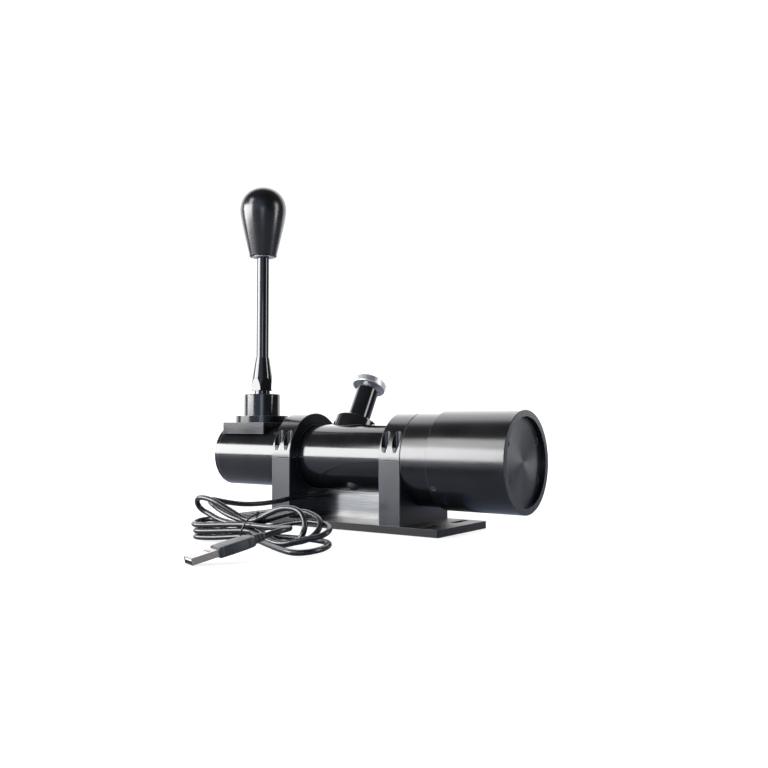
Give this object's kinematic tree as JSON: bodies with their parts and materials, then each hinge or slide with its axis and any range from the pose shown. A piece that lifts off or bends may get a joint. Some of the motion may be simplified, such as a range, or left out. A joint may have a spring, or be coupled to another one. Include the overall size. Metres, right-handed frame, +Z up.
{
  "type": "simulator gear shifter",
  "caption": "Remote-rod shifter controller: a tall lever with a teardrop knob on a clamped tube, a gate drum, a pull plunger, a slotted base and a tied USB lead.",
  "frame": {"origin": "centre of the base plate's underside, on the surface it rests on", "axes": "+X along the tube from the lever to the drum, +Y to the rear (away from the lead), +Z up along the upright lever"},
  "size_m": [0.3, 0.2951, 0.3102],
  "materials": {
    "black_anodised": "turned and milled aluminium, glossy black anodising",
    "bare_aluminium": "bare brushed aluminium",
    "black_steel": "black oxide steel",
    "bright_steel": "turned stainless steel",
    "black_nickel": "polished black nickel on steel",
    "spring_steel": "drawn spring wire",
    "bronze": "sintered bronze",
    "magnet": "nickel plated magnet",
    "circuit_board": "green solder mask on glass epoxy",
    "knob_black": "satin black phenolic",
    "cable_black": "glossy black PVC",
    "plug_metal": "nickel plated pressed steel",
    "plug_plastic": "white moulded plastic"
  },
  "bodies": {
    "root": {"angle_sensor_board": "circuit_board", "base_plate": "black_anodised", "board_screws": "black_steel", "body_tube": "black_anodised", "cable_gland": "cable_black", "cable_hank": "cable_black", "cable_tie": "cable_black", "centring_spring": "spring_steel", "circuit_board": "circuit_board", "clamp_lower_left": "black_anodised", "clamp_lower_right": "black_anodised", "clamp_screws": "black_steel", "clamp_upper_left": "black_anodised", "clamp_upper_right": "black_anodised", "cover_screws": "black_steel", "cradle_pins": "bright_steel", "drum_adapter": "black_anodised", "drum_cover": "black_anodised", "drum_set_screws": "bright_steel", "drum_shell": "black_anodised", "end_cap": "black_anodised", "foot_screws": "black_steel", "gate_housing": "bare_aluminium", "guide_screw": "black_steel", "housing_lid": "bare_aluminium", "left_bush": "bronze", "lid_screws": "black_steel", "plug_lead": "cable_black", "plunger_barrel": "black_anodised", "plunger_boss": "black_anodised", "plunger_spring": "spring_steel", "right_bush": "bronze", "saddle_plate": "black_anodised", "sensor_housing": "bare_aluminium", "turret": "black_anodised", "turret_screws": "black_steel", "usb_cable": "cable_black", "usb_plug_body": "cable_black", "usb_plug_shell": "plug_metal", "usb_plug_tongue": "plug_plastic"},
    "cradle": {"cradle_ring": "bright_steel", "lever_pin": "bright_steel"},
    "lever": {"lever_stud": "black_nickel", "hex_adapter": "black_nickel", "lever_rod": "black_nickel", "knob": "knob_black", "knob_ferrule": "bright_steel"},
    "carriage": {"guide_sleeve": "bare_aluminium", "sleeve_magnet": "magnet"},
    "selector": {"selector_rod": "bright_steel", "selector_fork": "bare_aluminium", "gate_finger": "bright_steel", "roll_pins": "bright_steel", "angle_magnet": "magnet", "sleeve_clips": "bright_steel"},
    "plunger": {"plunger_pin": "bright_steel", "plunger_knob": "bright_steel"}
  },
  "joints": [
    {"name": "side_tilt", "type": "hinge", "parent": "root", "child": "cradle", "pos_m": [-0.106, 0, 0.099], "axis": [1, 0, 0], "range_deg": [-8, 8], "stiffness_Nm_per_rad": 1.2},
    {"name": "fore_aft", "type": "hinge", "parent": "cradle", "child": "lever", "pos_m": [-0.106, 0, 0.099], "axis": [0, 1, 0], "range_deg": [-10, 10]},
    {"name": "carriage_slide", "type": "slide", "parent": "root", "child": "carriage", "axis": [1, 0, 0], "range_m": [-0.0053, 0.0053]},
    {"name": "selector_turn", "type": "hinge", "parent": "carriage", "child": "selector", "pos_m": [-0.106, 0, 0.057], "axis": [1, 0, 0], "range_deg": [-19, 19]},
    {"name": "plunger_pull", "type": "slide", "parent": "root", "child": "plunger", "axis": [0, 0.5045, 0.8634], "range_m": [0, 0.008], "stiffness_N_per_m": 400, "springref_m": -0.01, "deforming": ["plunger_spring"]}
  ],
  "couplings": [
    {"joint": "carriage_slide", "follows": "fore_aft", "m_per_rad": -0.029848},
    {"joint": "selector_turn", "follows": "side_tilt", "ratio": -2.3625}
  ]
}
